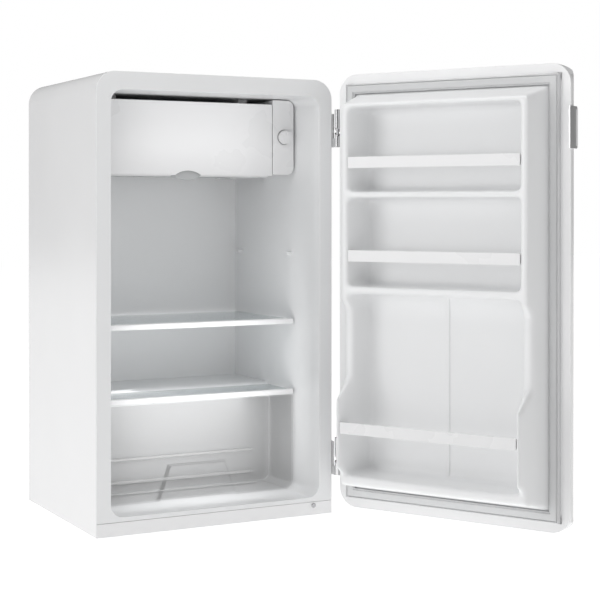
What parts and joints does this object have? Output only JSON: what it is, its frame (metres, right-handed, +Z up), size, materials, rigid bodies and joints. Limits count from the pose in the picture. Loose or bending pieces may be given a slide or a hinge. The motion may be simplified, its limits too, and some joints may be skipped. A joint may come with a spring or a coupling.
{
  "type": "mini fridge",
  "caption": "Compact single-door refrigerator with rounded corners, freezer box with flap, glass shelves, clear crisper, door bins and lift-cam hinges, door open.",
  "frame": {"origin": "on the floor under the middle of the cabinet's footprint, feet included in the height", "axes": "+X to the fridge's right as seen from the front (the hinge side), +Y to its back, +Z up"},
  "size_m": [0.7316, 0.8404, 0.846],
  "materials": {
    "white_paint": "gloss",
    "black_paint": "satin",
    "plain_steel": "galvanised, satin",
    "steel": "satin",
    "chrome": "polished",
    "aluminium": "satin",
    "copper": "drawn copper",
    "liner": "satin gloss",
    "white_plastic": "satin gloss",
    "grey_plastic": "satin",
    "clear_plastic": "clear moulded polystyrene",
    "black_plastic": "matte",
    "glass": "tempered, polished",
    "foam": "closed-cell foam",
    "gasket": "satin",
    "rubber": "matte",
    "magnet": "matte"
  },
  "bodies": {
    "cabinet": {"cabinet_shell": "white_paint", "cabinet_foam": "foam", "inner_liner": "liner", "back_panel": "plain_steel", "back_panel_screws": "steel", "compartment_panel": "plain_steel", "bottom_panel": "plain_steel", "base_plate": "plain_steel", "kick_strip": "white_paint", "kick_strip_screw": "steel", "front_feet": "black_plastic", "rear_feet": "black_plastic", "compressor": "black_paint", "compressor_mounts": "rubber", "relay_cover": "black_plastic", "discharge_pipe": "copper", "suction_pipe": "copper", "filter_drier": "copper", "condenser_tube": "copper", "cord_gland": "black_plastic", "evaporator": "aluminium", "evaporator_hangers": "white_plastic", "freezer_frame": "white_plastic", "drip_tray": "grey_plastic", "thermostat_housing": "white_plastic", "thermostat": "plain_steel", "sensor_tube": "copper", "upper_cabinet_leaf": "chrome", "lower_cabinet_leaf": "chrome", "cabinet_leaf_screws": "chrome"},
    "hinge_pins": {"upper_hinge_pin": "steel", "lower_hinge_pin": "steel"},
    "door": {"upper_door_leaf": "chrome", "lower_door_leaf": "chrome", "door_leaf_screws": "chrome", "door_shell": "white_paint", "door_foam": "foam", "door_liner": "liner", "door_gasket": "gasket", "gasket_magnet": "magnet", "upper_guard_bar": "white_plastic", "middle_guard_bar": "white_plastic", "lower_guard_bar": "white_plastic", "handle_plate": "chrome", "handle_screws": "steel"},
    "flap": {"freezer_flap": "white_plastic"},
    "knob": {"thermostat_shaft": "steel", "thermostat_knob": "white_plastic"},
    "upper_shelf": {"upper_shelf_glass": "glass", "upper_shelf_trim": "white_plastic"},
    "lower_shelf": {"lower_shelf_glass": "glass", "lower_shelf_trim": "white_plastic"},
    "crisper": {"crisper_drawer": "clear_plastic"}
  },
  "joints": [
    {"name": "door_lift", "type": "slide", "parent": "cabinet", "child": "hinge_pins", "axis": [0, 0, 1], "range_m": [-0.008, 0.0008]},
    {"name": "door_swing", "type": "hinge", "parent": "hinge_pins", "child": "door", "pos_m": [0.2431, -0.2102, 0.42], "axis": [0, 0, 1], "range_deg": [-118.5, 11.5]},
    {"name": "flap_swing", "type": "hinge", "parent": "cabinet", "child": "flap", "pos_m": [-0.023, -0.0935, 0.787], "axis": [-1, 0, 0], "range_deg": [0, 85]},
    {"name": "thermostat_turn", "type": "hinge", "parent": "cabinet", "child": "knob", "pos_m": [0.1833, -0.11, 0.731], "axis": [0, -1, 0], "range_deg": [0, 270]},
    {"name": "upper_shelf_slide", "type": "slide", "parent": "cabinet", "child": "upper_shelf", "axis": [0, -1, 0], "range_m": [0, 0.22]},
    {"name": "lower_shelf_slide", "type": "slide", "parent": "cabinet", "child": "lower_shelf", "axis": [0, -1, 0], "range_m": [0, 0.08]},
    {"name": "crisper_slide", "type": "slide", "parent": "cabinet", "child": "crisper", "axis": [0, -1, 0], "range_m": [0, 0.09]}
  ],
  "couplings": [
    {"joint": "door_lift", "follows": "door_swing", "m_per_rad": 0.003868}
  ]
}
